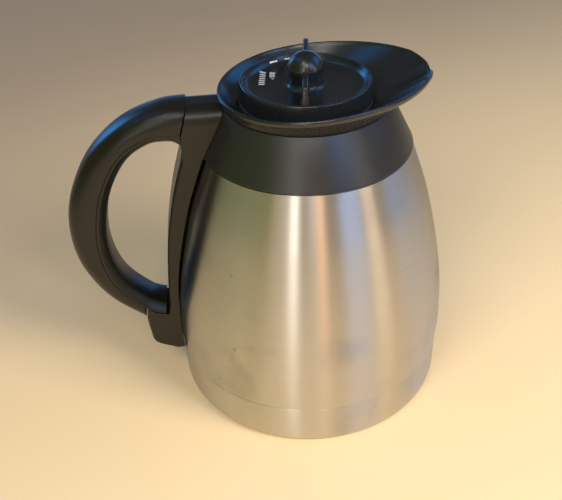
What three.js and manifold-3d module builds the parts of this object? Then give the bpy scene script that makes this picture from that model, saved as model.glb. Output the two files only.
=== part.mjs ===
// Double-walled coffee carafe: steel vacuum jug, black collar, pouring rim, D handle and twist lid.
// Millimetres, +Z up. The origin is on the jug's axis, on the surface it stands on.
// The spout points along +X and the handle along -X.
import * as THREE from 'three';
import { mergeVertices } from 'three/addons/utils/BufferGeometryUtils.js';
import Module from 'manifold-3d';

const wasm = await Module();
wasm.setup();

// Driving dimensions
const gap = 0.3; // clearance between neighbouring pieces
const wall = 0.9; // steel sheet
const seamHeight = 24.5; // seam between base cup and outer shell
const baseRadius = 73.3;
const collarBottom = { r: 53.3, z: 142.3 };
const collarTop = { r: 41.8, z: 165.3 };
const collarWall = 2.1;
const neckOuter = 33.2; // outer shell at the neck
const neckInner = 29.7; // clear mouth of the flask
const neckTop = 161;
const rimBack = 43; // brim radius on the handle side
const rimTop = 174.6; // brim height above the axis
const rimTilt = 0.07; // the brim rises towards the spout
const notchDepth = 4; // pouring channel below the brim
const notchAngle = THREE.MathUtils.degToRad(16);
const throatRadius = 33.7;
const dialRadius = 31.9;
const dialTop = 175.5;
const dialTurn = THREE.MathUtils.degToRad(-8); // resting turn of the grip bar from straight across
const dishFloor = 171;
const knobTop = 188.6;
const finTop = 183.7;
const sleeveRadius = 28.9; // stopper sleeve
const gripWidth = 24;
const stubTop = 166.9;
const screwAxis = 157; // height of the screw through the collar
const footScrewAxis = 37;

const steps = { body: 36, lid: 32, small: 12, rim: 60 };

const looks = {
  steel: { color: 0xb9b4aa, roughness: 0.32, metalness: 1 },
  liner: { color: 0xc9c9c6, roughness: 0.25, metalness: 1 },
  black: { color: 0x17171a, roughness: 0.42, metalness: 0 },
  gloss: { color: 0x101318, roughness: 0.22, metalness: 0 },
  grip: { color: 0x1c1b1c, roughness: 0.5, metalness: 0 },
  rubber: { color: 0x2b2b2b, roughness: 0.8, metalness: 0 },
  silicone: { color: 0xd8d6d0, roughness: 0.6, metalness: 0 },
  zinc: { color: 0x9aa0a4, roughness: 0.4, metalness: 1 },
  white: { color: 0xe8e8e6, roughness: 0.5, metalness: 0 },
};

const carafe = new THREE.Group();

function addPiece(name, look, geometry) {
  const mesh = new THREE.Mesh(geometry, new THREE.MeshStandardMaterial(looks[look]));
  mesh.name = name;
  carafe.add(mesh);
}

// A profile of [radius, height] turned about Z. It runs up the outside and down the inside.
function turned(profile, segments = steps.body) {
  const points = profile.map(([r, z]) => new THREE.Vector2(r, z));
  return new THREE.LatheGeometry(points, segments).rotateX(Math.PI / 2);
}

const closed = (profile) => [...profile, profile[0]];

function ring(inner, outer, low, high, segments) {
  return turned(closed([[inner, low], [outer, low], [outer, high], [inner, high]]), segments);
}

function disc(radius, low, high, segments) {
  return turned([[0, low], [radius, low], [radius, high], [0, high]], segments);
}

function rodAlongX(radius, from, to, z, segments = steps.small) {
  return disc(radius, 0, to - from, segments).rotateY(Math.PI / 2).translate(from, 0, z);
}

// An outline in the XZ plane made `width` thick in Y, centred on the plane of symmetry.
function plate(shape, width, bevel = 0, curveSegments = 5) {
  const geometry = new THREE.ExtrudeGeometry(shape, {
    depth: width - 2 * bevel,
    bevelEnabled: bevel > 0,
    bevelSize: bevel,
    bevelThickness: bevel,
    bevelOffset: -bevel,
    bevelSegments: 2,
    curveSegments,
  });
  return geometry.rotateX(Math.PI / 2).translate(0, width / 2 - bevel, 0);
}

function solid(geometry) {
  const bare = geometry.clone();
  bare.deleteAttribute('normal');
  bare.deleteAttribute('uv');
  const merged = mergeVertices(bare, 1e-4);
  return new wasm.Manifold(new wasm.Mesh({
    numProp: 3,
    vertProperties: new Float32Array(merged.attributes.position.array),
    triVerts: new Uint32Array(merged.index.array),
  }));
}

function cut(base, ...tools) {
  return fromSolid(tools.reduce((left, tool) => left.subtract(solid(tool)), solid(base)));
}

function fromSolid(manifold) {
  const mesh = manifold.getMesh();
  const geometry = new THREE.BufferGeometry();
  geometry.setAttribute('position', new THREE.BufferAttribute(mesh.vertProperties, 3));
  geometry.setIndex(new THREE.BufferAttribute(mesh.triVerts, 1));
  return geometry;
}

// ---- Steel jug ----

// Outside of the shell from the seam up to the collar, then the shoulder and neck under it.
const bellyOutside = [
  [73.4, seamHeight + gap], [74, 36], [73.8, 47], [72.4, 65], [68.8, 86.4], [63, 111.6], [57.8, 128],
  [52.9, 141.6],
];
const shoulderOutside = [[50.4, 142.5], [46.5, 148], [39.5, 152.4], [neckOuter, 156]];

const inset = (profile, by) => profile.map(([r, z]) => [r - by, z]);

function outerShell() {
  const outside = [...bellyOutside, ...shoulderOutside, [neckOuter, neckTop]];
  return turned(closed([...outside, ...inset(outside, wall).reverse()]));
}

// The cup closes the bottom. It stands on a ring foot around a shallow recess.
function baseCup() {
  const side = seamHeight - gap / 2;
  return turned(closed([
    [60, 0], [70.6, 0], [72.6, 1.6], [baseRadius, 6], [baseRadius, side],
    [baseRadius - wall, side], [baseRadius - wall, 6], [71, 2.6], [59, 2.6], [4.5, 3.6], [4.5, 2.7], [58.6, 1.9],
  ]));
}

const flaskOutside = [
  [0, 6.5], [60, 6.5], [68, 13], [69.4, 38], [67.9, 65], [64.2, 86.4], [58.4, 111.6], [48, 142],
  [neckInner + wall, 153], [neckInner + wall, neckTop],
];

function innerFlask() {
  const inside = inset(flaskOutside.slice(1), wall).map(([r, z], i) => [r, i < 1 ? z + wall : z]);
  return turned([...flaskOutside, ...inside.reverse(), [0, 6.5 + wall]]);
}

function mouthRing() {
  const tongue = { inner: neckInner + wall + gap, outer: neckOuter - wall - gap, low: 157 };
  return turned(closed([
    [tongue.inner, tongue.low], [tongue.outer, tongue.low], [tongue.outer, neckTop + gap],
    [neckOuter, neckTop + gap], [neckOuter, neckTop + 1.5], [neckInner, neckTop + 1.5],
    [neckInner, neckTop + gap], [tongue.inner, neckTop + gap],
  ]));
}

// ---- Collar and pouring rim ----

function collar() {
  const { r: r0, z: z0 } = collarBottom;
  const { r: r1, z: z1 } = collarTop;
  const cone = turned(closed([
    [r0 - collarWall, z0 + 0.4], [r0 - 0.3, z0], [r0, z0 + 0.3], [r1, z1], [r1 - collarWall, z1],
  ]));
  return cut(cone, rodAlongX(2.2, -60, -30, screwAxis));
}

// Distance from the axis to the brim's edge at an angle from the spout.
function rimRadius(angle) {
  const c = (1 + Math.cos(angle)) / 2;
  return rimBack + 3.8 * c + 12.9 * c ** 6 + 1.6 * c ** 60;
}

// The rim is turned round, then its edge is drawn out into the spout. The third value of each
// point is its share in the edge's reach, tilt and pouring notch.
function pourRim() {
  const profile = [
    [neckOuter + gap, 157.5, 0], [neckOuter + 2.2, 157.5, 0], [neckOuter + 2.2, 163.6, 0],
    [39, collarTop.z + gap, 0], [collarTop.r - 0.2, collarTop.z + gap, 0], [rimBack - 0.5, rimTop - 3.2, 1], [rimBack, rimTop - 2.6, 1],
    [rimBack, rimTop - 0.6, 1], [rimBack - 0.7, rimTop, 1], [rimBack - 1.6, rimTop - 0.7, 1],
    [38, 168.4, 0.45], [throatRadius + 0.8, 165.4, 0], [throatRadius, 164.4, 0],
    [neckOuter + gap, 163.8, 0],
  ];
  const geometry = turned(closed(profile), steps.rim);
  const position = geometry.attributes.position;
  const rows = profile.length + 1;
  for (let i = 0; i < position.count; i += 1) {
    const share = profile[(i % rows) % profile.length][2];
    const x = position.getX(i);
    const y = position.getY(i);
    const angle = Math.atan2(y, x);
    const radius = Math.hypot(x, y) + share * (rimRadius(angle) - rimBack);
    const notch = notchDepth * Math.max(0, 1 - Math.abs(angle) / notchAngle);
    const rise = rimTilt * rimRadius(angle) * Math.cos(angle) - notch;
    position.setXYZ(i, radius * Math.cos(angle), radius * Math.sin(angle), position.getZ(i) + share * rise);
  }
  return geometry;
}

// ---- Handle ----

const gripOutside = [
  [-58.2, 168], [-72, 166.6], [-90.5, 159], [-108, 144], [-120.4, 122], [-124.2, 101], [-120, 80],
  [-108.6, 61.6], [-93, 43.6],
];
const gripInside = [
  [-87.6, 52.2], [-97.8, 64.6], [-104, 83], [-105.2, 102], [-100.4, 124], [-90.2, 142],
  [-78, 150.2], [-62.5, 150.6],
];
const linerDepth = 5; // the loop-side half of the grip

const plane = (points) => points.map(([x, z]) => new THREE.Vector2(x, z));

function smooth(points, count) {
  return new THREE.SplineCurve(plane(points)).getPoints(count);
}

// The loop side moved outwards by `by` along its own normal.
function offset(points, by) {
  return points.map((point, i) => {
    const before = points[Math.max(i - 1, 0)];
    const after = points[Math.min(i + 1, points.length - 1)];
    const along = after.clone().sub(before).normalize();
    return new THREE.Vector2(point.x - along.y * by, point.y + along.x * by);
  });
}

const loopSide = smooth(gripInside, 18);

// Outer half of the D, from the parting line on the stub down to the foot.
function gripCover() {
  const outline = [...smooth(gripOutside, 20), ...offset(loopSide, linerDepth + gap)];
  return plate(new THREE.Shape(outline), gripWidth, 2);
}

// Inner half, with the flat face that the fingers meet.
function gripLiner() {
  const outline = [...offset(loopSide, linerDepth).reverse(), ...loopSide];
  return plate(new THREE.Shape(outline), gripWidth - 1, 1.2);
}

// What the frame has to stay clear of: the steel and the collar, with a gap.
function jugClearance() {
  const room = 0.4;
  const steel = bellyOutside.map(([r, z]) => [r + room, z]);
  return turned([
    [0, 0], [baseRadius + room, 0], ...steel, [collarBottom.r + room, collarBottom.z - 0.4],
    [collarTop.r + room, collarTop.z + gap], [collarTop.r + room, 172], [0, 172],
  ], 72);
}

// Stub on the collar, leg down the back of the jug and foot, moulded in one.
function handleFrame() {
  const stub = plate(new THREE.Shape(plane([
    [-40, 147], [-60.2, 147], [-61.9, 150.4], [-61.5, 156], [-57.6, stubTop], [-40, stubTop],
  ])), gripWidth, 3);
  const legLoopSide = smooth([[-61, 148], [-63.4, 141], [-69.4, 121], [-74.9, 93], [-77.8, 62], [-79.4, 51]], 9);
  const leg = plate(new THREE.Shape([
    ...plane([[-40, 155], [-59, 155]]), ...legLoopSide,
    ...plane([[-86.9, 51.4], [-91, 47.9], [-91.4, 42], [-91.4, 30], [-87, 24.5], [-77, 20.8], [-55, 20.8]]),
  ]), gripWidth, 3);
  const bores = [
    rodAlongX(2.1, -57, -30, screwAxis),
    rodAlongX(2.3, -95, -60, footScrewAxis),
    rodAlongX(4.3, -95, -83, footScrewAxis),
    new THREE.BoxGeometry(4, 12.6, 16.6).translate(-75, 0, footScrewAxis),
  ];
  const blank = solid(stub).add(solid(leg));
  return fromSolid([jugClearance(), ...bores].reduce((left, tool) => left.subtract(solid(tool)), blank));
}

function screw(tip, head, z, shank) {
  const length = Math.abs(head - tip);
  const side = Math.sign(head - tip);
  const body = turned([[0, 0], [shank, 0], [shank, length], [shank * 1.9, length], [shank * 1.9, length + 2], [0, length + 2]], 16);
  return body.rotateY(side * Math.PI / 2).translate(tip, 0, z);
}

// ---- Lid ----

const turnedDial = (geometry) => geometry.rotateZ(dialTurn);

// Dished top with its skirt, the flared knob and the grip bar across it, moulded in one.
function lidDial() {
  const dish = turned([
    [8.6, 171.4], [12.4, 169.2], [27.4, 169.2], [29.7, 170.4], [29.7, 166.7], [dialRadius, 166.7],
    [dialRadius, dialTop - 0.6], [dialRadius - 0.6, dialTop], [dialRadius - 1.6, dialTop],
    [26.4, dishFloor + 0.3], [23.5, dishFloor], [14, dishFloor + 0.4], [11.2, 174], [9.9, 180], [9.6, 184.6],
    [7, 184.6], [7, 173], [8.6, 171.4],
  ]);
  const fin = new THREE.Shape([
    ...plane([[8.2, dishFloor - 0.5], [dialRadius - 0.8, dishFloor - 0.5], [dialRadius - 0.1, dialTop + 0.2]]),
    ...plane([[29.9, finTop - 1], [29, finTop], [8.2, finTop - 1.6]]),
  ]);
  const bars = [1, -1].map((side) => plate(fin, 3.6, 0.8).rotateZ(side * Math.PI / 2));
  const window = new THREE.BoxGeometry(6, 16, 4.9).translate(31.5, 0, 169.05).rotateZ(-dialTurn);
  const joined = bars.reduce((left, bar) => left.add(solid(bar)), solid(dish));
  return turnedDial(fromSolid(joined.subtract(solid(window))));
}

function knobCap() {
  return turned([
    [0, 183.2], [6.6, 183.2], [6.6, 185], [9.6, 185], [9.5, 187], [8.6, knobTop - 0.5], [6.8, knobTop], [0, knobTop - 0.6],
  ], 24);
}

// Flange on the mouth, sleeve down the neck and a lip that the valve closes on.
function stopperBody() {
  const body = turned(closed([
    [23, 150], [sleeveRadius - 0.9, 150], [sleeveRadius - 0.9, 151.6], [sleeveRadius - 2.6, 152.2],
    [sleeveRadius - 2.6, 154.4], [sleeveRadius, 155], [sleeveRadius, 164.1], [32.8, 164.1], [32.8, 166.1],
    [4.4, 166.1], [4.4, 163.6], [6.4, 163.6], [6.4, 164.3], [25, 164.3], [25, 153], [23, 151.6],
  ]));
  const pourSlot = new THREE.BoxGeometry(9, 18, 10).translate(19, 0, 165);
  return cut(body, pourSlot);
}

function mark(width, depth, x, y, turn) {
  const bar = new THREE.BoxGeometry(width, depth, 0.4).rotateZ(THREE.MathUtils.degToRad(turn));
  return turnedDial(bar.translate(x, y, dishFloor + 0.6));
}

// ---- Assembly ----

addPiece('outer_shell', 'steel', outerShell());
addPiece('base_cup', 'steel', baseCup());
addPiece('base_pad', 'rubber', disc(57, 0, 1.5, 36));
addPiece('evacuation_plug', 'zinc', disc(4.2, 2.1, 4.4, 12));
addPiece('inner_flask', 'liner', innerFlask());
addPiece('getter_disc', 'zinc', disc(6, 4.8, 6.1, 12).translate(24, 0, 0));
addPiece('mouth_ring', 'liner', mouthRing());
addPiece('neck_gasket', 'silicone', ring(30.2, 33, neckTop + 1.8, neckTop + 2.8, steps.lid));
addPiece('neck_lock_ring', 'black', ring(neckOuter + 2.5, 39, 158, 162.5, steps.lid));
addPiece('collar', 'black', collar());
addPiece('pour_rim', 'gloss', pourRim());
addPiece('handle_frame', 'black', handleFrame());
addPiece('grip_cover', 'grip', gripCover());
addPiece('grip_liner', 'grip', gripLiner());
addPiece('collar_screw', 'zinc', screw(-55, -41.6, screwAxis, 1.8));
addPiece('foot_screw', 'zinc', screw(-75.8, -86, footScrewAxis, 2));
addPiece('foot_bracket', 'zinc', new THREE.BoxGeometry(1.2, 12, 16).translate(-74.9, 0, footScrewAxis));
addPiece('foot_plug', 'black', rodAlongX(4, -91.2, -89, footScrewAxis));
addPiece('stopper_body', 'black', stopperBody());
addPiece('stopper_seal', 'silicone', ring(sleeveRadius - 2.3, neckInner - gap, 152.5, 154.1, steps.lid));
addPiece('valve_plate', 'black', disc(24.6, 157, 158.8, steps.lid));
addPiece('valve_seal', 'silicone', ring(21.6, 24.6, 155.5, 156.7, steps.lid));
addPiece('valve_stem', 'black', disc(3.4, 159.1, 178, 16));
addPiece('cam_pin', 'zinc', rodAlongX(1, -6.4, -3.7, 175));
addPiece('stem_bush', 'zinc', ring(3.8, 6.2, 166.4, 167.6, 16));
addPiece('lid_dial', 'gloss', lidDial());
addPiece('knob_cap', 'gloss', knobCap());
addPiece('open_mark', 'white', mark(3, 10, -21.5, 6, 0));
addPiece('closed_mark', 'white', mark(2, 7, -16.5, 15.5, -45));

export default carafe;
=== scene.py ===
import math

import bmesh
import bpy
from mathutils import Matrix, Vector


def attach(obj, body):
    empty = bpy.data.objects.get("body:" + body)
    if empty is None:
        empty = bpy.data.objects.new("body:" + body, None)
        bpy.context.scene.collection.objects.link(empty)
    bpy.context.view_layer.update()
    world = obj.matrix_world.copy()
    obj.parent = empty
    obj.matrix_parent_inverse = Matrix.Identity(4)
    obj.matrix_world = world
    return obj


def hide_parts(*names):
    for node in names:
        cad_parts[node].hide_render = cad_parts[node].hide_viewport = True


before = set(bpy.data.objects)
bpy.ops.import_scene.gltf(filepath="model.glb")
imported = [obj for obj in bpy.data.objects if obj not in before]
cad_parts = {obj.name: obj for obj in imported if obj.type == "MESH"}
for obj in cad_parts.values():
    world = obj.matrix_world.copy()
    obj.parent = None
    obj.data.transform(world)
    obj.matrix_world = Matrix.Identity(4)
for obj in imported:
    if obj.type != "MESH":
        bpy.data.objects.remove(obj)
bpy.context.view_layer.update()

mm = 0.001
fullTurn = 2 * math.pi
scene = bpy.context.scene


# Shader maths: a Wire is an output socket, and arithmetic on it adds Math nodes.
class Wire:
    def __init__(self, tree, socket):
        self.tree = tree
        self.socket = socket

    def node(self, kind, settings=None, sockets=None, output=0):
        made = self.tree.nodes.new(kind)
        for key, value in (settings or {}).items():
            setattr(made, key, value)
        for key, value in (sockets or {}).items():
            connect(self.tree, made.inputs[key], value)
        return Wire(self.tree, made.outputs[output])

    def math(self, operation, *values):
        return self.node("ShaderNodeMath", {"operation": operation}, dict(enumerate(values)))

    def __add__(self, other):
        return self.math("ADD", self, other)

    def __radd__(self, other):
        return self.math("ADD", other, self)

    def __sub__(self, other):
        return self.math("SUBTRACT", self, other)

    def __rsub__(self, other):
        return self.math("SUBTRACT", other, self)

    def __mul__(self, other):
        return self.math("MULTIPLY", self, other)

    def __rmul__(self, other):
        return self.math("MULTIPLY", other, self)

    def clipped(self, low=0.0, high=1.0):
        return self.math("MINIMUM", self.math("MAXIMUM", self, low), high)

    def rising(self, low, high):  # 0 below low, 1 above high, smooth between
        sockets = {0: self, 1: low, 2: high}
        return self.node("ShaderNodeMapRange", {"interpolation_type": "SMOOTHSTEP"}, sockets)

    def blend(self, first, second):  # colour first where this is 0, second where it is 1
        return self.node("ShaderNodeMix", {"data_type": "RGBA"}, {0: self, 6: first, 7: second}, 2)


def connect(tree, socket, value):
    if isinstance(value, Wire):
        tree.links.new(value.socket, socket)
    elif isinstance(value, (tuple, list)) and socket.type == "RGBA" and len(value) == 3:
        socket.default_value = (*value, 1.0)
    else:
        socket.default_value = value


def split(vector):
    made = vector.tree.nodes.new("ShaderNodeSeparateXYZ")
    vector.tree.links.new(vector.socket, made.inputs[0])
    return [Wire(vector.tree, made.outputs[i]) for i in range(3)]


def joinUp(x, y, z):
    owner = next(part for part in (x, y, z) if isinstance(part, Wire))
    return owner.node("ShaderNodeCombineXYZ", {}, {0: x, 1: y, 2: z})


def noise(place, scale, detail=2.0, roughness=0.5):
    sockets = {"Vector": place, "Scale": scale, "Detail": detail, "Roughness": roughness}
    return place.node("ShaderNodeTexNoise", {}, sockets)


def specks(place, scale, size):  # 1 in small round dots, 0 between them
    cells = place.node("ShaderNodeTexVoronoi", {}, {"Vector": place, "Scale": scale})
    return 1 - cells.rising(size * 0.5, size)


def relief(height, distance, strength=1.0, under=None):
    sockets = {"Height": height, "Distance": distance, "Strength": strength}
    if under is not None:
        sockets["Normal"] = under
    return height.node("ShaderNodeBump", {}, sockets)


def newMaterial(name):
    material = bpy.data.materials.new(name)
    material.use_nodes = True
    tree = material.node_tree
    tree.nodes.clear()
    shader = tree.nodes.new("ShaderNodeBsdfPrincipled")
    output = tree.nodes.new("ShaderNodeOutputMaterial")
    tree.links.new(shader.outputs[0], output.inputs[0])
    place = Wire(tree, tree.nodes.new("ShaderNodeTexCoord").outputs["Object"])
    return material, shader, place


def dress(shader, values):
    for key, value in values.items():
        connect(shader.id_data, shader.inputs[key], value)


def tinted(place, tone, colour):  # a colour made lighter and darker by tone
    red, green, blue = colour
    return place.node("ShaderNodeCombineColor", {}, {0: tone * red, 1: tone * green, 2: tone * blue})


# lines and turnScale set how fine and how long the brush lines are, wide ones the bands between them.
brushedLook = {"colour": (0.66, 0.625, 0.575), "rough": 0.31, "lineHeight": 0.008 * mm, "grain": 1.0,
               "lines": 5200, "wideLines": 900, "turnScale": 2.2}


def brushedSteel(name, look):
    material, shader, place = newMaterial(name)
    x, y, z = split(place)
    angle = x.math("ARCTAN2", y, x)
    turnScale = look["turnScale"]
    around = joinUp(x.math("COSINE", angle) * turnScale, x.math("SINE", angle) * turnScale, z * look["lines"])
    fine = noise(around, 1.0, 3.0, 0.65)
    broadAround = joinUp(x.math("COSINE", angle), x.math("SINE", angle), z * look["wideLines"])
    broad = noise(broadAround, 1.0, 2.0)
    upright = noise(joinUp(x * 60, y * 60, z * 4), 1.0, 2.0)  # faint streaks in the colour that run up the wall
    smudge = noise(place, 26, 4.0, 0.6).rising(0.52, 0.72)
    spots = specks(place, 95, 0.11) * noise(place, 30).rising(0.5, 0.62)
    tone = fine * 0.13 + broad * 0.10 + upright * 0.14 + 0.80 - smudge * 0.05 - spots * 0.16
    dress(shader, {
        "Base Color": tinted(place, tone, look["colour"]),
        "Metallic": 1.0,
        "Roughness": fine * 0.08 + broad * 0.04 + smudge * 0.07 + spots * 0.12 + (look["rough"] - 0.05),
        "Anisotropic": look["grain"],
        "Anisotropic Rotation": 0.25,
        "Normal": relief(fine + broad * 0.4, look["lineHeight"], 0.5),
    })
    return material


def mouldedPlastic(name, look):
    material, shader, place = newMaterial(name)
    grain = noise(place, look["grainScale"], 3.0, 0.6)
    cloudy = noise(place, 34, 3.0)
    x, y, z = split(place)
    scuffs = noise(joinUp(x * 220, y * 900, z * 420), 1.0, 3.0, 0.7).rising(0.62, 0.76)
    rubbed = noise(place, 70, 4.0, 0.65).rising(0.55, 0.75)
    dust = specks(place, 620, 0.13) * noise(place, 90).rising(0.48, 0.6)
    worn = (scuffs * 0.5 + rubbed * 0.5) * look["wear"]
    shade = cloudy * 0.5 + 0.75 + grain * look["mottle"]
    body = tinted(place, shade, look["colour"])
    paler = worn.blend(body, tuple(part * 2.2 + 0.012 for part in look["colour"]))  # rubbed plastic goes grey
    dress(shader, {
        "Base Color": (dust * look["dust"]).blend(paler, dustColour),
        "Roughness": (worn * 0.10 + cloudy * 0.06 + dust * 0.3 * look["dust"] + grain * 0.04
                      + (look["rough"] - 0.05)),
        "Specular IOR Level": look["shine"],
        "Normal": relief(grain, look["grainHeight"], 0.6, relief(rubbed, 0.01 * mm, 0.25)),
    })
    return material


dustColour = (0.30, 0.28, 0.25)
collarLook = {"colour": (0.011, 0.0105, 0.010), "rough": 0.35, "grainScale": 2600, "grainHeight": 0.03 * mm,
              "mottle": 0.25, "wear": 0.3, "dust": 0.25, "shine": 0.8}
gripLook = {"colour": (0.006, 0.0055, 0.004), "rough": 0.31, "grainScale": 2300, "grainHeight": 0.03 * mm,
            "mottle": 0.25, "wear": 0.25, "dust": 0.15, "shine": 0.42}
rimLook = {"colour": (0.006, 0.007, 0.008), "rough": 0.27, "grainScale": 1500, "grainHeight": 0.004 * mm,
           "mottle": 0.15, "wear": 0.3, "dust": 0.12, "shine": 0.85}
padLook = {"colour": (0.030, 0.030, 0.030), "rough": 0.75, "grainScale": 1800, "grainHeight": 0.08 * mm,
           "mottle": 0.5, "wear": 0.6, "dust": 0.9, "shine": 0.5}
sealLook = {"colour": (0.60, 0.585, 0.55), "rough": 0.5, "grainScale": 900, "grainHeight": 0.03 * mm,
            "mottle": 0.08, "wear": 0.0, "dust": 0.2, "shine": 0.5}


linerColour = (0.66, 0.65, 0.63)
zincColour = (0.52, 0.54, 0.55)
inkLook = {"pale": (0.38, 0.41, 0.42), "light": (0.52, 0.55, 0.56), "worn": (0.06, 0.07, 0.08), "rough": 0.42}


def drawnSteel(name):  # the flask's bright lining, drawn upwards
    material, shader, place = newMaterial(name)
    x, y, z = split(place)
    lines = noise(joinUp(x * 900, y * 900, z * 30), 1.0, 3.0, 0.6)
    stain = noise(place, 40, 4.0, 0.6).rising(0.5, 0.75)
    tone = lines * 0.12 + 0.86 - stain * 0.12
    dress(shader, {
        "Base Color": tinted(place, tone, linerColour),
        "Metallic": 1.0,
        "Roughness": lines * 0.12 + stain * 0.12 + 0.16,
        "Normal": relief(lines, 0.01 * mm, 0.5),
    })
    return material


def zincPlate(name):
    material, shader, place = newMaterial(name)
    flakes = place.node("ShaderNodeTexVoronoi", {}, {"Vector": place, "Scale": 900.0})
    haze = noise(place, 300, 3.0)
    tone = flakes * 0.2 + haze * 0.25 + 0.7
    dress(shader, {
        "Base Color": tinted(place, tone, zincColour),
        "Metallic": 1.0,
        "Roughness": haze * 0.2 + 0.28,
        "Normal": relief(haze, 0.02 * mm, 0.6),
    })
    return material


def printedInk(name):
    material, shader, place = newMaterial(name)
    worn = noise(place, 1400, 3.0, 0.7).rising(0.50, 0.66)
    tint = noise(place, 300).blend(inkLook["pale"], inkLook["light"])
    dress(shader, {
        "Base Color": (worn * 0.75).blend(tint, inkLook["worn"]),
        "Roughness": worn * 0.1 + inkLook["rough"],
        "Normal": relief(worn, -0.02 * mm, 0.7),
    })
    return material


finishes = {
    "brushed_shell": brushedSteel("brushedShell", brushedLook),
    "liner_steel": drawnSteel("drawnLiner"),
    "fixings": zincPlate("zincFixings"),
    "pad": mouldedPlastic("rubberPad", padLook),
    "seals": mouldedPlastic("siliconeSeal", sealLook),
    "collar_plastic": mouldedPlastic("collarPlastic", collarLook),
    "grip_plastic": mouldedPlastic("gripPlastic", gripLook),
    "rim_plastic": mouldedPlastic("rimPlastic", rimLook),
    "marks": printedInk("markInk"),
}
print("finishes made:", len(finishes))


def deselectAll():
    bpy.ops.object.select_all(action="DESELECT")


def makeActive(piece):
    deselectAll()
    piece.select_set(True)
    bpy.context.view_layer.objects.active = piece


def enterEdit(kind="VERT"):
    bpy.ops.object.mode_set(mode="EDIT")
    bpy.ops.mesh.select_mode(type=kind)


def leaveEdit():
    bpy.ops.object.mode_set(mode="OBJECT")


def pickVertices(piece, chosen):
    edit = bmesh.from_edit_mesh(piece.data)
    for vertex in edit.verts:
        vertex.select_set(bool(chosen(vertex.co)))
    edit.select_flush_mode()
    bmesh.update_edit_mesh(piece.data)


def pickEdges(piece, chosen):
    edit = bmesh.from_edit_mesh(piece.data)
    for face in edit.faces:
        face.select = False
    for edge in edit.edges:
        edge.select_set(bool(chosen(*(vertex.co for vertex in edge.verts))))
    bmesh.update_edit_mesh(piece.data)


def addModifier(piece, kind, settings):
    makeActive(piece)
    modifier = piece.modifiers.new(kind.lower(), kind)
    for key, value in settings.items():
        setattr(modifier, key, value)
    bpy.ops.object.modifier_apply(modifier=modifier.name)


def settle(piece, body, slot, nodes, smoothAngle=32):
    makeActive(piece)
    bpy.ops.object.transform_apply(location=True, rotation=True, scale=True)
    bpy.ops.object.shade_smooth_by_angle(angle=math.radians(smoothAngle))
    piece.data.materials.clear()
    piece.data.materials.append(finishes[slot])
    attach(piece, body)
    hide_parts(*nodes)


# A chain of vertices in the XZ plane, drawn point after point. A corner is (x, z) or (x, z, fillet).
filletSteps = 4


def drawLine(name, corners, closed=True):
    deselectAll()
    bpy.ops.mesh.primitive_plane_add(size=mm, location=(corners[0][0] * mm, 0, corners[0][1] * mm))
    piece = bpy.context.object
    piece.name = piece.data.name = name
    enterEdit()
    bpy.ops.mesh.merge(type="CENTER")
    route = list(corners) + ([corners[0]] if closed else [])
    for before, after in zip(route, route[1:]):
        stride = ((after[0] - before[0]) * mm, 0, (after[1] - before[1]) * mm)
        bpy.ops.mesh.extrude_region_move(TRANSFORM_OT_translate={"value": stride})
    bpy.ops.mesh.select_all(action="SELECT")
    bpy.ops.mesh.remove_doubles(threshold=1e-6)
    leaveEdit()
    bpy.ops.object.transform_apply(location=True)
    enterEdit()
    for fillet in sorted({corner[2] for corner in corners if len(corner) > 2}):
        places = [Vector((c[0] * mm, 0, c[1] * mm)) for c in corners if len(c) > 2 and c[2] == fillet]
        pickVertices(piece, lambda co: any((co - place).length < 2e-6 for place in places))
        bpy.ops.mesh.bevel(offset=fillet * mm, segments=filletSteps, affect="VERTICES")
    bpy.ops.mesh.select_all(action="DESELECT")
    leaveEdit()
    return piece


def spinLine(piece, steps):
    makeActive(piece)
    enterEdit()
    bpy.ops.mesh.select_all(action="SELECT")
    bpy.ops.mesh.spin(steps=steps, angle=fullTurn, center=(0, 0, 0), axis=(0, 0, 1))
    bpy.ops.mesh.select_all(action="SELECT")
    bpy.ops.mesh.remove_doubles(threshold=2e-6)
    bpy.ops.mesh.normals_make_consistent(inside=False)
    leaveEdit()
    return piece


def turned(name, corners, steps=96):
    return spinLine(drawLine(name, corners), steps)


# A smooth curve through the points, with count places on it, ends included.
def flowing(points, count):
    first = tuple(2 * a - b for a, b in zip(points[0], points[1]))
    last = tuple(2 * a - b for a, b in zip(points[-1], points[-2]))
    knots = [Vector(point) for point in (first, *points, last)]
    found = []
    for step in range(count):
        place = step / (count - 1) * (len(points) - 1)
        i = min(int(place), len(points) - 2)
        t = place - i
        a, b, c, d = knots[i:i + 4]
        found.append(tuple(0.5 * (2 * b + (c - a) * t + (2 * a - 5 * b + 4 * c - d) * t * t
                                  + (3 * b - a - 3 * c + d) * t * t * t)))
    return found


# Profiles are (radius, height) in millimetres, with a fillet as a third value where a corner is rounded.
jug = {"wall": 0.9, "steps": 160}
belly = [(73.4, 24.8), (74, 36), (73.8, 47), (72.4, 65), (68.8, 86.4), (63, 111.6), (57.8, 128),
         (52.9, 141.6)]
shoulder = [(50.4, 142.5, 0.6), (46.5, 148), (39.5, 152.4), (33.2, 156), (33.2, 161)]


def steelShell():
    side = flowing(belly, 44)
    low = [(73.15, 24.5), (73.36, 24.55)]  # the edge is rolled in over the seam
    shell = drawLine("steelShell", low + side[1:] + shoulder, False)
    spinLine(shell, jug["steps"])
    addModifier(shell, "SOLIDIFY", {"thickness": jug["wall"] * mm, "offset": -1.0})
    settle(shell, "jug", "brushed_shell", ["outer_shell"])


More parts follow.
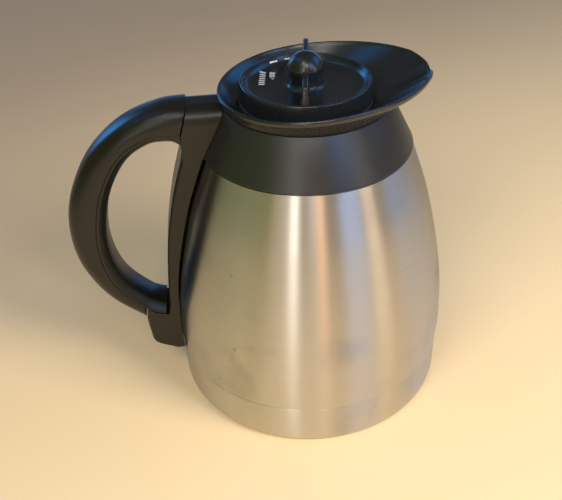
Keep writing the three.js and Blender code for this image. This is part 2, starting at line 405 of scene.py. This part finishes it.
def baseCup():
    cup = turned("baseCup", [
        (60, 0, 0.4), (70.4, 0, 1.2), (72.5, 1.6, 1.5), (73.3, 6), (73.3, 15), (73.3, 24.35, 0.2),
        (72.4, 24.35), (72.4, 6, 1), (71, 2.6, 1), (59, 2.6), (30, 3.1), (4.5, 3.6), (4.5, 2.7), (30, 2.3),
        (58.6, 1.9, 0.5),
    ], jug["steps"])
    settle(cup, "jug", "brushed_shell", ["base_cup"])


def underside():
    ridges = []
    for start in range(14, 56, 6):  # rings that the jug stands on
        ridges += [(start, 0.7), (start + 1, 0.25), (start + 4, 0.25), (start + 5, 0.7)]
    pad = turned("basePad", [(0, 0.7)] + ridges + [(56.2, 0.7, 0.3), (57, 1.5), (0, 1.5)], 96)
    settle(pad, "jug", "pad", ["base_pad"])
    plug = turned("evacuationPlug", [
        (0, 2.5), (1.5, 2.3), (2.4, 2.1, 0.3), (4.2, 2.2, 0.3), (4.2, 4.4), (0, 4.4),
    ], 32)
    settle(plug, "jug", "fixings", ["evacuation_plug"])


def flask():
    wall = flowing([(69.2, 30), (69.3, 42), (67.9, 65), (64.2, 86.4), (58.4, 111.6), (48, 142)], 26)
    outside = [(0, 6.5), (60, 6.5, 7), (68, 13, 4)] + wall
    neck = [(30.6, 153, 2), (30.6, 161)]
    inner = [(29.7, 161), (29.7, 153, 2)] + [(r - jug["wall"], z) for r, z in reversed(wall)]
    inner += [(67.1, 13.4, 4), (59.4, 7.4, 7), (0, 7.4)]
    liner = turned("flaskLiner", outside + neck + inner, 128)
    settle(liner, "jug", "liner_steel", ["inner_flask"])
    mouth = turned("mouthRing", [
        (30.9, 157), (32, 157), (32, 161.3), (33.2, 161.3), (33.2, 162.5, 0.5), (29.7, 162.5, 0.5),
        (29.7, 161.3), (30.9, 161.3),
    ], 96)
    settle(mouth, "jug", "liner_steel", ["mouth_ring"])
    gasket = turned("neckGasket", [
        (30.2, 162.8, 0.3), (32.3, 162.8, 0.3), (32.3, 163.8, 0.35), (30.2, 163.8, 0.35),
    ], 96)
    settle(gasket, "jug", "seals", ["neck_gasket"])


def collarCone():
    cone = turned("collarCone", [
        (51.2, 142.7), (52.9, 142.3, 0.3), (53.3, 142.6, 0.4), (47.6, 153.9), (41.8, 165.3, 0.3),
        (39.7, 165.3), (45.4, 154),
    ], jug["steps"])
    settle(cone, "jug", "collar_plastic", ["collar"])


brim = {"back": 43.0, "tilt": 0.07, "steps": 300, "crowd": 1.4,
        "channelDepth": 2.5, "channelAngle": math.radians(17), "grooveDepth": 1.5, "grooveHalf": 5.2}


def brimReach(angle):  # distance from the axis to the edge
    c = (1 + math.cos(angle)) / 2
    return brim["back"] + 3.8 * c + 12.9 * c ** 6 + 1.6 * c ** 60


# Each profile point carries its share in the edge's reach and tilt as its third value.
def pourBrim():
    back = brim["back"]
    under = [(33.1, 163.9, 0), (33.5, 163.5, 0), (33.5, 157.5, 0), (35.4, 157.5, 0), (35.4, 163.6, 0),
             (39, 165.6, 0), (41.5, 165.6, 0)]
    flare = flowing([(41.7, 165.8, 0), (41.95, 167.4, 0.28), (42.2, 169.4, 0.64), (42.5, 171.4, 1)], 10)
    lip = flowing([(42.5, 171.4, 1), (42.95, 172.3, 1), (43.0, 173.6, 1), (42.5, 174.45, 1),
                   (41.7, 174.3, 1), (41.2, 173.5, 1)], 16)
    slope = flowing([(41.2, 173.5, 1), (39.8, 171.3, 0.76), (38, 168.6, 0.45), (36, 166.4, 0.17),
                     (34.4, 165.1, 0.0)], 16)
    points = under + flare + lip[1:] + slope[1:] + [(33.5, 164.65, 0), (33.1, 164.5, 0)]
    rim = turned("pourBrim", [(r, z) for r, z, share in points], brim["steps"])
    shares = {(round(r, 3), round(z, 3)): share for r, z, share in points}
    for vertex in rim.data.vertices:
        x, y, z = vertex.co / mm
        radius = math.hypot(x, y)
        nearest = min(shares, key=lambda point: (point[0] - radius) ** 2 + (point[1] - z) ** 2)
        share = shares[nearest]
        angle = math.atan2(y, x)
        crowded = (abs(angle) / math.pi) ** brim["crowd"]  # finer towards the spout
        angle = math.copysign(math.pi * crowded, angle)
        radius += share * (brimReach(angle) - back)
        across = abs(radius * math.sin(angle))
        channel = brim["channelDepth"] * max(0, 1 - abs(angle) / brim["channelAngle"])
        if abs(angle) < 1:
            channel += brim["grooveDepth"] * max(0, 1 - across / brim["grooveHalf"])
        rise = brim["tilt"] * brimReach(angle) * math.cos(angle) - channel
        vertex.co = Vector((radius * math.cos(angle), radius * math.sin(angle), z + share * rise)) * mm
    rim.data.update()
    settle(rim, "jug", "rim_plastic", ["pour_rim"], 24)


steelShell()
baseCup()
underside()
flask()
collarCone()
pourBrim()
print("jug, collar and rim made")


grip = {"half": 12.0, "rounding": 8.4, "chamfer": 4.0, "liner": 5.0, "seam": 0.12, "stations": 56}
# The handle's outlines in the XZ plane, from the stub round the loop to the foot.
gripOutside = [(-58.2, 169.2), (-72, 167.9), (-90.8, 160.2), (-108.4, 144.7), (-120.6, 122.2),
               (-124.3, 101), (-121.2, 79.4), (-110.4, 60.2), (-92.0, 43.4)]
gripSpine = [(-62.4, 151.0), (-69, 151.0), (-78, 150.2), (-90.2, 142), (-100.4, 124), (-105.4, 102),
             (-104.8, 83.5), (-99.2, 68.4), (-88.2, 56.2)]
gripTail = [(-83.4, 53.2), (-79.9, 52.2)]  # the liner runs on over the foot to the leg
gripInside = [(-62.4, 146.4), (-63.5, 149.0), (-66.2, 150.5)] + gripSpine[1:]
legInside = [(-62.3, 146.6), (-63.4, 141.5), (-69.4, 121), (-74.9, 93), (-77.9, 62), (-78.5, 55)]
footTop = [(-79.2, 46.4), (-86.2, 48.3), (-90.5, 51.2)]


def byLength(points, count):  # the same curve with its places evenly spaced
    fine = flowing(points, 400)
    run = [0.0]
    for before, after in zip(fine, fine[1:]):
        run.append(run[-1] + math.dist(before, after))
    found = []
    j = 0
    for i in range(count):
        goal = run[-1] * i / (count - 1)
        while j < len(fine) - 2 and run[j + 1] < goal:
            j += 1
        t = (goal - run[j]) / max(run[j + 1] - run[j], 1e-9)
        found.append(tuple(a + (b - a) * t for a, b in zip(fine[j], fine[j + 1])))
    return found


def outwards(points, by):  # moved to the side that faces away from the hand
    moved = []
    for i, (x, z) in enumerate(points):
        x0, z0 = points[max(i - 1, 0)]
        x1, z1 = points[min(i + 1, len(points) - 1)]
        size = math.dist((x0, z0), (x1, z1))
        moved.append((x + (z1 - z0) / size * by, z - (x1 - x0) / size * by))
    return moved


def arc(cx, cy, radius, start, end, count):
    turns = [math.radians(start + (end - start) * i / (count - 1)) for i in range(count)]
    return [(cx + radius * math.cos(t), cy + radius * math.sin(t)) for t in turns]


# Sections hold (depth, across): depth grows from the hand's side outwards, across is along Y.
def coverSection(thick):
    half, small = grip["half"], 0.2
    big = min(grip["rounding"], 0.75 * thick)
    side = arc(small, half - small, small, 180, 90, 3) + [(thick - big - 0.2, half)]
    side += arc(thick - big, half - big, big, 84, 6, 8)
    crown = [(thick + 0.15, (half - big) * 0.6)]
    return side + crown + [(thick + 0.25, 0)] + [(d, -a) for d, a in reversed(side + crown)]


def linerSection(thick):
    half, cutBack = grip["half"] - 0.04, grip["chamfer"]
    side = [(thick, half - 0.2), (thick - 0.2, half), (cutBack + 0.25, half), (cutBack - 0.35, half - 0.3)]
    side += [(cutBack * 0.5, half - cutBack * 0.5 - 0.2), (0.5, half - cutBack + 0.2)]
    side += [(0, half - cutBack - 0.9)]
    return side + [(0, 0)] + [(d, -a) for d, a in reversed(side)]


def gripRings(inner, outer, section):
    rings = []
    for (x0, z0), (x1, z1) in zip(inner, outer):
        thick = math.dist((x0, z0), (x1, z1))
        rings.append([(x0 + (x1 - x0) * d / thick, a, z0 + (z1 - z0) * d / thick) for d, a in section(thick)])
    return rings


# A closed section, extruded from station to station. Each ring is a list of points in millimetres.
def swept(name, rings):
    deselectAll()
    bpy.ops.mesh.primitive_circle_add(vertices=len(rings[0]), radius=5 * mm, fill_type="NGON")
    piece = bpy.context.object
    piece.name = piece.data.name = name
    enterEdit("FACE")
    edit = bmesh.from_edit_mesh(piece.data)
    edit.verts.ensure_lookup_table()
    for vertex, point in zip(edit.verts, rings[0]):
        vertex.co = Vector(point) * mm
    bmesh.update_edit_mesh(piece.data)
    for before, after in zip(rings, rings[1:]):
        bpy.ops.mesh.extrude_region_move()
        edit = bmesh.from_edit_mesh(piece.data)
        for vertex in [v for v in edit.verts if v.select]:
            gaps = [(Vector(point) * mm - vertex.co).length_squared for point in before]
            vertex.co = Vector(after[gaps.index(min(gaps))]) * mm
        bmesh.update_edit_mesh(piece.data)
    bpy.ops.mesh.select_all(action="SELECT")
    bpy.ops.mesh.normals_make_consistent(inside=False)
    leaveEdit()
    return piece


def easeEnds(piece, ends, width):  # rounds the rim of a flat end; ends are points on it
    makeActive(piece)
    enterEdit("FACE")
    edit = bmesh.from_edit_mesh(piece.data)
    for face in edit.faces:
        centre = face.calc_center_median()
        near = any((centre - Vector(end) * mm).length < 12 * mm for end in ends)
        face.select_set(len(face.verts) > 8 and near)
    bmesh.update_edit_mesh(piece.data)
    bpy.ops.mesh.region_to_loop()
    bpy.ops.mesh.bevel(offset=width * mm, segments=2, affect="EDGES", clamp_overlap=True)
    leaveEdit()


def gripPieces():
    count = grip["stations"]
    base = byLength(gripSpine, count)
    shared = outwards(base, grip["liner"])
    cover = swept("gripCover", gripRings(shared, byLength(gripOutside, count), coverSection))
    easeEnds(cover, [(-60, 0, 162), (-91.5, 0, 47.6)], 0.4)
    settle(cover, "jug", "grip_plastic", ["grip_cover"], 30)
    count += 5
    back = outwards(byLength(gripSpine + gripTail, count), grip["liner"] - grip["seam"])
    loop = byLength(gripInside + gripTail, count)
    liner = swept("gripLiner", gripRings(loop, back, linerSection))
    settle(liner, "jug", "grip_plastic", ["grip_liner"], 30)


def cutWith(piece, tool):
    addModifier(piece, "BOOLEAN", {"object": tool, "operation": "DIFFERENCE", "solver": "EXACT"})
    bpy.data.objects.remove(tool)


def bevelPicked(piece, chosen, width, segments, profile=0.5):
    makeActive(piece)
    enterEdit("EDGE")
    pickEdges(piece, chosen)
    bpy.ops.mesh.bevel(
        offset=width * mm, segments=segments, profile=profile, affect="EDGES", clamp_overlap=True)
    leaveEdit()


# The leg's gap to the steel widens from nothing at gapStart to gap over gapRun.
# The hole is for the plug in the foot.
leg = {"gap": 0.8, "gapStart": 50, "gapRun": 26, "rest": 0.4, "stations": 15, "footBevel": 2.6,
       "holeRadius": 4.3, "holeHeight": 37, "holePlace": -87.5, "plugPlace": -89}


# Stub on the collar, leg down the back of the jug and foot, moulded in one.
def handleFrame():
    half = grip["half"] - 0.1
    stub = [(-40, 168.0), (-57.9, 168.0), (-62.1, 154.4)]
    legLine = byLength(legInside, leg["stations"])
    foot = [(-91.6, 44.4), (-91.4, 41), (-90.2, 29.6), (-88.8, 26.6), (-86, 24.7), (-77, 20.8),
            (-55, 20.8), (-40, 20.8)]
    body = drawLine("handleFrame", stub + legLine + footTop + foot)
    makeActive(body)
    enterEdit("VERT")
    bpy.ops.mesh.select_all(action="SELECT")
    bpy.ops.mesh.edge_face_add()
    bpy.ops.transform.translate(value=(0, -half * mm, 0))
    bpy.ops.mesh.extrude_region_move(TRANSFORM_OT_translate={"value": (0, 2 * half * mm, 0)})
    bpy.ops.mesh.select_all(action="SELECT")
    bpy.ops.mesh.normals_make_consistent(inside=False)
    leaveEdit()

    def onSide(a, b):
        return abs(abs(a.y) - half * mm) < 1e-5 and abs(a.y - b.y) < 1e-6

    loopPlaces = [Vector((x, 0, z)) * mm for x, z in legLine + footTop[:1]]

    def onLoop(a, b):
        flat = [Vector((end.x, 0, end.z)) for end in (a, b)]
        return onSide(a, b) and all(any((end - place).length < 1e-5 for place in loopPlaces) for end in flat)

    def onTop(a, b):
        return onSide(a, b) and min(a.z, b.z) > 167.8 * mm

    def onFoot(a, b):
        return onSide(a, b) and max(a.z, b.z) < 44.6 * mm and min(a.x, b.x) < -70 * mm

    bevelPicked(body, onTop, grip["rounding"], 9)
    bevelPicked(body, onLoop, grip["chamfer"], 3, 0.34)
    bevelPicked(body, onFoot, leg["footBevel"], 3, 0.45)
    clearance = [(0, -4), (73.7, -4), (73.8, 24.8)]
    for r, z in flowing(belly, 24)[1:]:
        opened = min(max((z - leg["gapStart"]) / leg["gapRun"], 0), 1)
        clearance.append((r + leg["rest"] + leg["gap"] * opened, z))
    clearance += [(53.7, 142.2), (42.2, 165.6), (42.2, 172), (0, 172)]
    cutWith(body, turned("clearance", clearance, 180))
    bpy.ops.mesh.primitive_cylinder_add(
        vertices=48, radius=leg["holeRadius"] * mm, depth=9 * mm,
        location=(leg["holePlace"] * mm, 0, leg["holeHeight"] * mm), rotation=(0, math.pi / 2, 0))
    cutWith(body, bpy.context.object)
    settle(body, "jug", "grip_plastic", ["handle_frame"], 30)
    addModifier(body, "WEIGHTED_NORMAL", {"keep_sharp": True, "weight": 90})
    plug = turned("footPlug", [
        (0, 0), (4, 0), (4, 2.0, 0.5), (3.1, 2.25, 0.3), (1.2, 2.0, 0.3), (0.9, 1.5, 0.2), (0, 1.5),
    ], 40)
    plug.rotation_euler = (0, -math.pi / 2, 0)
    plug.location = (leg["plugPlace"] * mm, 0, leg["holeHeight"] * mm)
    settle(plug, "jug", "collar_plastic", ["foot_plug"])


gripPieces()
handleFrame()
print("handle made")


lid = {"turn": math.radians(-8), "floor": 171.2}
knob = {"radius": 9.0, "middle": 179.6}


def turnedLid(piece, extra=0.0):
    makeActive(piece)
    piece.rotation_euler = (0, 0, lid["turn"] + extra)
    bpy.ops.object.transform_apply(rotation=True)


dishWall = flowing([(30.3, 175.1), (29.3, 173.4), (27.8, 172.0), (25.4, 171.3), (22, 171.2), (19, 171.2)], 20)


def dishHeight(radius):  # of the dish's inside
    for (outer, high), (inner, low) in zip(dishWall, dishWall[1:]):
        if inner <= radius <= outer:
            return low + (high - low) * (radius - inner) / (outer - inner)
    return lid["floor"]


def lidDish():
    neck = flowing([(12, 171.25), (9.6, 171.7), (8.0, 173.2), (7.8, 175.2), (8.4, 177.6), (8.95, 179.6),
                    (8.95, 180.5)], 16)
    dish = turned("lidDish", [
        (6.2, 171.2), (8.4, 169.6), (12.4, 169.2), (27.4, 169.2), (29.7, 170.4), (29.7, 166.4),
        (32.6, 166.4, 0.2), (31.9, 175.5, 0.7), (30.5, 175.5, 0.45),
    ] + dishWall + neck + [(6.2, 180.5)], 144)
    bpy.ops.mesh.primitive_cube_add(size=1, location=(0.0315, 0, 0.16905), scale=(0.006, 0.016, 0.0049))
    cutWith(dish, bpy.context.object)
    settle(dish, "dial", "rim_plastic", ["lid_dial"], 28)


fins = {"middle": (19.4, 0, 177.1), "size": (23.4, 4.6, 13.2), "ridge": 180, "topShare": 0.56, "outerIn": 1.5,
        "innerDrop": 1.6, "edge": 0.75}


# One fin of the grip bar: it widens downwards, and its top leans in at the outer end.
def lidFin(name, quarter):
    deselectAll()
    middle, size = Vector(fins["middle"]) * mm, Vector(fins["size"]) * mm
    bpy.ops.mesh.primitive_cube_add(size=1, location=middle, scale=size)
    fin = bpy.context.object
    fin.name = fin.data.name = name
    bpy.ops.object.transform_apply(location=True, scale=True)
    enterEdit("VERT")
    ridge = fins["ridge"] * mm
    pickVertices(fin, lambda co: co.z > ridge)
    bpy.ops.transform.resize(value=(1, fins["topShare"], 1))
    pickVertices(fin, lambda co: co.z > ridge and co.x > 20 * mm)
    bpy.ops.transform.translate(value=(-fins["outerIn"] * mm, 0, 0))
    pickVertices(fin, lambda co: co.z > ridge and co.x < 20 * mm)
    bpy.ops.transform.translate(value=(0, 0, -fins["innerDrop"] * mm))
    leaveEdit()
    bevelPicked(fin, lambda a, b: max(a.z, b.z) > ridge and max(a.x, b.x) > 10 * mm, fins["edge"], 4)
    turnedLid(fin, quarter * math.pi / 2)
    settle(fin, "dial", "rim_plastic", [], 34)


def knobTop():
    dome = arc(0, knob["middle"], knob["radius"], 8, 80, 12)
    under = [(0, 181.4), (6.0, 181.4), (6.0, 180.7), (8.9, 180.7, 0.12)]
    cap = turned("knobTop", under + dome + [(0, knob["middle"] + knob["radius"])], 96)
    settle(cap, "dial", "rim_plastic", ["knob_cap"], 40)


def inkBar(cx, cy, wide, long):
    deselectAll()
    bpy.ops.mesh.primitive_plane_add(size=1, location=(cx * mm, cy * mm, (lid["floor"] - 0.05) * mm))
    bar = bpy.context.object
    bar.scale = (wide * mm, long * mm, 1)
    bpy.ops.object.transform_apply(location=True, scale=True)
    enterEdit("VERT")
    bpy.ops.mesh.select_all(action="SELECT")
    bpy.ops.mesh.bevel(offset=0.3 * mm, segments=2, affect="VERTICES")
    bpy.ops.mesh.select_all(action="SELECT")
    bpy.ops.mesh.extrude_region_move(TRANSFORM_OT_translate={"value": (0, 0, 0.11 * mm)})
    bpy.ops.mesh.select_all(action="SELECT")
    bpy.ops.mesh.normals_make_consistent(inside=False)
    leaveEdit()
    return bar


def wallStrip(start, sweep):  # a short bar round the dish's wall, from start degrees on
    strip = drawLine("strip", [(28.75, 173.3), (29.3, 173.93), (29.25, 174.03), (28.7, 173.4)])
    makeActive(strip)
    strip.rotation_euler = (0, 0, math.radians(start))
    bpy.ops.object.transform_apply(rotation=True)
    enterEdit()
    bpy.ops.mesh.select_all(action="SELECT")
    bpy.ops.mesh.edge_face_add()
    bpy.ops.mesh.spin(steps=10, angle=math.radians(sweep), center=(0, 0, 0), axis=(0, 0, 1))
    bpy.ops.mesh.select_all(action="SELECT")
    bpy.ops.mesh.remove_doubles(threshold=2e-6)
    bpy.ops.mesh.normals_make_consistent(inside=False)
    leaveEdit()
    return strip


def joined(parts, name):
    deselectAll()
    for part in parts:
        part.select_set(True)
    whole = parts[0]
    bpy.context.view_layer.objects.active = whole
    bpy.ops.object.join()
    whole.name = whole.data.name = name
    return whole


# Plain bars in place of lettering: middle x and y, width and length.
openBars = [(-21.5, 2.4 + 2.2 * i, 3.0, 1.2) for i in range(7)]
openBars += [(-16.7, 13.4, 2.8, 6.0), (-16.4, 8.8, 1.4, 1.6)]
closedStrips = [(104, 12.5), (121, 9)]  # start and sweep in degrees


def lidMarks():
    mark = joined([inkBar(*bar) for bar in openBars], "openMark")
    for vertex in mark.data.vertices:  # laid on the dish where it curves up
        vertex.co.z += (dishHeight(vertex.co.xy.length / mm) - lid["floor"]) * mm
    turnedLid(mark)
    settle(mark, "dial", "marks", ["open_mark"])
    far = joined([wallStrip(*strip) for strip in closedStrips], "closedMark")
    settle(far, "dial", "marks", ["closed_mark"])


lidDish()
lidFin("nearFin", -1)
lidFin("farFin", 1)
knobTop()
lidMarks()
print("lid made")


def stopper():
    body = turned("stopperBody", [
        (23, 150, 0.3), (28, 150, 0.5), (28, 151.6), (26.3, 152.2), (26.3, 154.4), (28.9, 155, 0.4),
        (28.9, 164.1), (32.8, 164.1, 0.3), (32.8, 166.1, 0.4), (4.4, 166.1), (4.4, 163.6), (6.4, 163.6),
        (6.4, 164.3), (25, 164.3), (25, 153), (23, 151.6),
    ], 128)
    bpy.ops.mesh.primitive_cube_add(size=1, location=(0.019, 0, 0.165), scale=(0.009, 0.018, 0.01))
    cutWith(body, bpy.context.object)
    settle(body, "stopper", "collar_plastic", ["stopper_body"], 28)
    seal = turned("stopperSeal", [
        (26.6, 152.6), (28.7, 152.6, 0.2), (29.4, 152.9, 0.15), (28.5, 153.3), (29.4, 153.7, 0.15),
        (28.7, 154.0, 0.2), (26.6, 154.0),
    ], 128)
    settle(seal, "stopper", "seals", ["stopper_seal"])
    bush = turned("stemBush", [
        (3.8, 166.4, 0.2), (6.2, 166.4, 0.2), (6.2, 167.6, 0.3), (3.8, 167.6, 0.3),
    ], 64)
    settle(bush, "stopper", "fixings", ["stem_bush"])


def valve():
    plate = turned("valvePlate", [
        (0, 157, 0), (12, 157), (12.6, 157.5), (18, 157.5), (18.6, 157), (24.6, 157, 0.3), (24.6, 158.8, 0.4),
        (8, 158.8), (7, 158.5), (0, 158.5),
    ], 96)
    settle(plate, "valve", "collar_plastic", ["valve_plate"])
    seal = turned("valveSeal", [
        (21.6, 155.9), (22.4, 155.5, 0.2), (24.1, 155.5, 0.3), (24.6, 156.1, 0.2), (24.6, 156.7),
        (21.6, 156.7),
    ], 96)
    settle(seal, "valve", "seals", ["valve_seal"])
    stem = turned("valveStem", [
        (0, 159.1), (3.4, 159.1, 0.3), (3.4, 170, 0.2), (2.9, 170.6), (2.9, 172), (3.4, 172.6),
        (3.4, 178, 0.6), (0, 178),
    ], 48)
    settle(stem, "valve", "collar_plastic", ["valve_stem"])


stopper()
valve()
print("stopper and valve made")

# CAD nodes that stay: small metal fixings and rings that nothing shows from outside.
for node in ("getter_disc", "neck_lock_ring", "collar_screw", "foot_screw", "foot_bracket", "cam_pin"):
    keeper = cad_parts[node]
    wanted = finishes["collar_plastic" if node == "neck_lock_ring" else "fixings"]
    if not keeper.material_slots:
        keeper.data.materials.append(wanted)
    for place in keeper.material_slots:
        place.material = wanted


# shadeColour is a painted shade laid on the floor cloth towards the back left, and shadeReach is how far it
# runs
studio = {"floorColour": (0.72, 0.545, 0.32), "shadeColour": (0.44, 0.31, 0.19), "shadeReach": 0.62,
          "ambient": 0.24, "fill": (0.42, 0.36, 0.30), "glow": (0.62, 0.54, 0.44), "wall": (0.72, 0.66, 0.58)}


def makeFloor():
    deselectAll()
    bpy.ops.mesh.primitive_plane_add(size=8, location=(0, 0, -0.0002))
    floor = bpy.context.object
    floor.name = "floor"
    material, shader, place = newMaterial("floorCloth")
    x, y, z = split(place)
    wide = noise(place, 5, 3.0)
    shadeRamp = y * 0.9 - x * 0.45 + wide * 0.1  # painted shade: the cloth's colour darkens behind the jug on the left, where the light falls off
    shaded = shadeRamp.rising(0.0, studio["shadeReach"])
    cloth = wide.blend(tuple(c * 0.95 for c in studio["floorColour"]),
                       tuple(min(c * 1.05, 1) for c in studio["floorColour"]))
    dress(shader, {
        "Base Color": shaded.blend(cloth, studio["shadeColour"]),
        "Roughness": 0.85,
        "Normal": relief(noise(place, 900, 2.0), 0.1 * mm, 0.3),
    })
    floor.data.materials.append(material)


# Soft panels around the carafe, in degrees: the middle's azimuth and height, half widths and softness.
# A later panel shines over an earlier one.
panels = {
    "flag": {"az": -84, "el": 20, "halfAz": 19, "halfEl": 40, "soft": 6,
             "colour": (0.12, 0.08, 0.06), "power": 1.0},
    "back": {"az": 82, "el": 30, "halfAz": 40, "halfEl": 34, "soft": 8,
             "colour": (0.08, 0.08, 0.08), "power": 1.0},
    "skyHigh": {"az": 166, "el": 56, "halfAz": 18, "halfEl": 12, "soft": 8,
                "colour": (0.08, 0.40, 1.0), "power": 1.6},
    "garden": {"az": -159, "el": 12, "halfAz": 34, "halfEl": 40, "soft": 8,
               "colour": (0.08, 0.17, 0.0), "power": 1.0},
    "hedge": {"az": 146, "el": 0, "halfAz": 24, "halfEl": 14, "soft": 6,
              "colour": (0.14, 0.15, 0.04), "power": 1.0},
    "streak": {"az": -110.5, "el": 28, "halfAz": 4.0, "halfEl": 34, "soft": 3,
               "colour": (1.0, 0.96, 0.88), "power": 4.2},
    "glow": {"az": -122, "el": 14, "halfAz": 9, "halfEl": 26, "soft": 5,
             "colour": (1.0, 0.86, 0.66), "power": 0.6},
    "window": {"az": -120, "el": 58, "halfAz": 10, "halfEl": 8, "soft": 5,
               "colour": (1.0, 0.97, 0.92), "power": 4.5},
    "lamp": {"az": -88, "el": 44, "halfAz": 9, "halfEl": 7, "soft": 5,
             "colour": (1.0, 0.98, 0.95), "power": 7.0},
    "amber": {"az": -85.5, "el": 6, "halfAz": 2.8, "halfEl": 12, "soft": 3,
              "colour": (1.0, 0.38, 0.08), "power": 3.0},
    "frost": {"az": -53, "el": 34, "halfAz": 12, "halfEl": 16, "soft": 6,
              "colour": (0.28, 0.52, 1.0), "power": 3.4},
    "cream": {"az": -37, "el": 4, "halfAz": 6, "halfEl": 22, "soft": 5,
              "colour": (1.0, 0.84, 0.66), "power": 2.0},
    "skyLow": {"az": 127, "el": 13, "halfAz": 8, "halfEl": 12, "soft": 4,
               "colour": (0.08, 0.40, 1.0), "power": 5.0},
    "skyRight": {"az": 12, "el": 33, "halfAz": 24, "halfEl": 14, "soft": 8,
                 "colour": (0.08, 0.40, 1.0), "power": 2.0},
    "low": {"az": 78, "el": 3, "halfAz": 30, "halfEl": 6, "soft": 4,
            "colour": (0.14, 0.44, 1.0), "power": 2.0},
}


def makeWorld():
    world = bpy.data.worlds.new("softRoom")
    scene.world = world
    world.use_nodes = True
    tree = world.node_tree
    tree.nodes.clear()
    place = Wire(tree, tree.nodes.new("ShaderNodeTexCoord").outputs["Generated"])
    x, y, z = split(place)
    azimuth = x.math("ARCTAN2", y, x)
    height = z.math("ARCSINE", z.clipped(-1.0, 1.0))
    light = z.rising(-0.2, 0.9).blend(studio["glow"], studio["fill"])
    light = light.node("ShaderNodeVectorMath", {"operation": "SCALE"}, {0: light, "Scale": studio["ambient"]})
    for panel in panels.values():
        apart = azimuth.math("WRAP", azimuth - math.radians(panel["az"]), -math.pi, math.pi)
        soft = math.radians(panel["soft"])
        wide, tall = math.radians(panel["halfAz"]), math.radians(panel["halfEl"])
        across = 1 - apart.math("ABSOLUTE", apart).rising(wide - soft * 0.5, wide + soft * 0.5)
        tilt = height - math.radians(panel["el"])
        upright = 1 - tilt.math("ABSOLUTE", tilt).rising(tall - soft, tall + soft)
        mask = across * upright
        light = mask.blend(light, tuple(part * panel["power"] for part in panel["colour"]))
    seen = tree.nodes.new("ShaderNodeLightPath").outputs["Is Camera Ray"]
    shown = Wire(tree, seen).blend(light, studio["wall"])  # seen directly, the room is a plain pale wall
    background = tree.nodes.new("ShaderNodeBackground")
    tree.links.new(shown.socket, background.inputs[0])
    output = tree.nodes.new("ShaderNodeOutputWorld")
    tree.links.new(background.outputs[0], output.inputs[0])


lamps = {
    "keyLeft": {"place": (-0.40, -0.52, 0.70), "aim": (0, 0, 0.08), "size": 0.35, "power": 4.2,
                "colour": (1.0, 0.93, 0.80)},
    "fillRight": {"place": (0.46, -0.42, 0.56), "aim": (0.05, 0.0, 0.05), "size": 0.35, "power": 7.0,
                  "colour": (1.0, 0.92, 0.78)},
}


def softLight(name, look):
    data = bpy.data.lights.new(name, "AREA")
    data.shape = "RECTANGLE"
    data.size = data.size_y = look["size"]
    data.energy = look["power"]
    data.color = look["colour"]
    lamp = bpy.data.objects.new(name, data)
    scene.collection.objects.link(lamp)
    lamp.location = look["place"]
    lamp.visible_glossy = False  # the steel mirrors the panels alone
    lamp.rotation_euler = (Vector(look["aim"]) - Vector(look["place"])).to_track_quat("-Z", "Y").to_euler()


view = {"place": (-0.0468, -0.3555, 0.33365), "right": (0.9935, -0.1104, -0.0290),
        "forward": (0.0725, 0.8065, -0.5867), "lens": 51.2456, "sensor": 36}


def makeCamera():
    right = Vector(view["right"]).normalized()
    forward = Vector(view["forward"]).normalized()
    up = right.cross(forward)
    data = bpy.data.cameras.new("viewCamera")
    data.sensor_width = view["sensor"]
    data.sensor_fit = "HORIZONTAL"
    data.lens = view["lens"]
    data.clip_start = 0.01
    camera = bpy.data.objects.new("viewCamera", data)
    scene.collection.objects.link(camera)
    turn = Matrix((right, up, -forward)).transposed().to_4x4()
    camera.matrix_world = Matrix.Translation(view["place"]) @ turn
    scene.camera = camera


makeFloor()
makeWorld()
for name, look in lamps.items():
    softLight(name, look)
makeCamera()
scene.view_settings.view_transform = "Standard"
print("floor, light and camera made")
